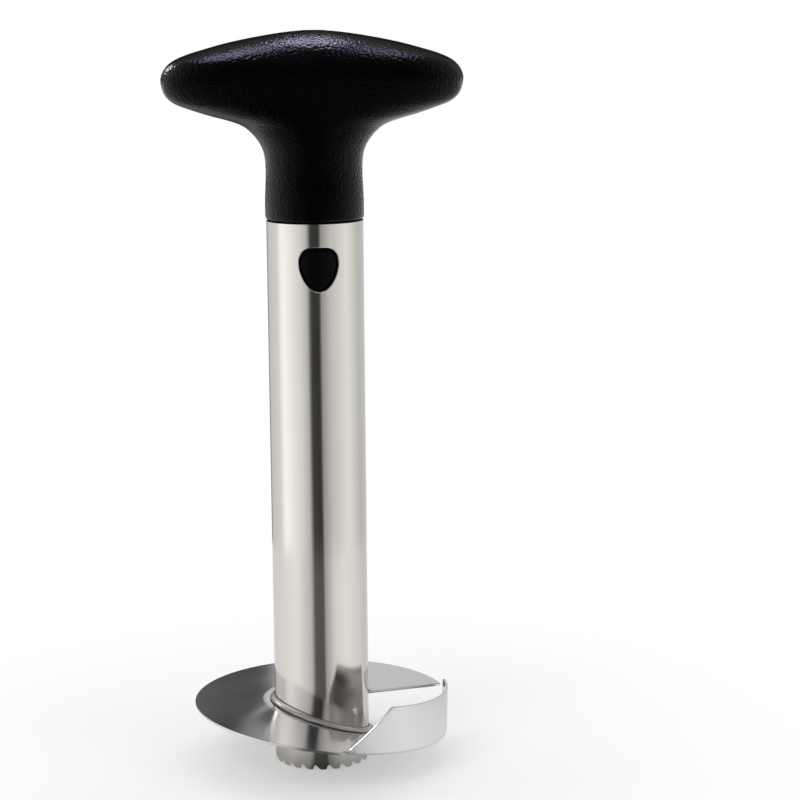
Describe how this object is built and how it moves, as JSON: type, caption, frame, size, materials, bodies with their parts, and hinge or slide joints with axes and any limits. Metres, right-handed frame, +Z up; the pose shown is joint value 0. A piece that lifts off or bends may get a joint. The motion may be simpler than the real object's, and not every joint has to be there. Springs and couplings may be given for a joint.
{
  "type": "pineapple slicer",
  "caption": "Hand slicer and corer: T-shaped grip that lifts off a toothed steel core tube, with a helical ring blade round its lower end and a sprung button latch.",
  "frame": {"origin": "on the core tube's axis, level with the tips of its teeth", "axes": "+Z up along the tube, -Y to the front, where the front button is, +X along the grip to the right"},
  "size_m": [0.0958, 0.0838, 0.2388],
  "materials": {
    "tube": "satin, drawn lengthwise",
    "ring": "bright, lightly polished",
    "weld": "cleaned weld",
    "grip": "black, fine leather grain",
    "insert": "black, smooth moulded",
    "button": "black, glossy",
    "spring": "drawn spring wire"
  },
  "bodies": {
    "tube": {"core_tube": "tube", "ring_blade": "ring", "ring_weld": "weld"},
    "handle": {"grip_front_shell": "grip", "grip_rear_shell": "grip", "latch_insert": "insert", "insert_cap": "insert", "button_spring": "spring"},
    "front_button": {"front_button": "button"},
    "rear_button": {"rear_button": "button"}
  },
  "joints": [
    {"name": "handle_lift", "type": "slide", "parent": "tube", "child": "handle", "axis": [0, 0, 1], "range_m": [0, 0.06]},
    {"name": "front_button_press", "type": "slide", "parent": "handle", "child": "front_button", "axis": [0, 1, 0], "range_m": [-0.001, 0.0016], "stiffness_N_per_m": 600, "springref_m": -0.003, "deforming": ["button_spring"]},
    {"name": "rear_button_press", "type": "slide", "parent": "handle", "child": "rear_button", "axis": [0, -1, 0], "range_m": [-0.001, 0.0016], "stiffness_N_per_m": 600, "springref_m": -0.003, "deforming": ["button_spring"]}
  ]
}
